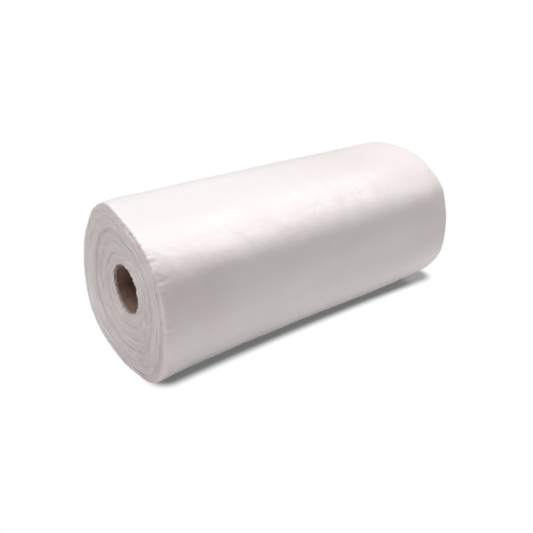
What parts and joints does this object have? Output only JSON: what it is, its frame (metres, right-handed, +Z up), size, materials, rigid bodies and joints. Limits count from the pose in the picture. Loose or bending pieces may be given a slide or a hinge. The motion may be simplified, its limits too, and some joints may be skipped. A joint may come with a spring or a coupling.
{
  "type": "roll of produce bags",
  "caption": "Roll of thin milky film bags wound tight on a plain cardboard core, lying on its side on a small pressed flat, with an open bore for a spindle.",
  "frame": {"origin": "on the surface that the roll lies on, under the middle of its bounding box", "axes": "+X along the core, +Y to the back, +Z up"},
  "size_m": [0.305, 0.147, 0.1378],
  "materials": {
    "film": "satin",
    "core_board": "matte"
  },
  "bodies": {
    "root": {"film_roll": "film", "core": "core_board"}
  },
  "joints": []
}
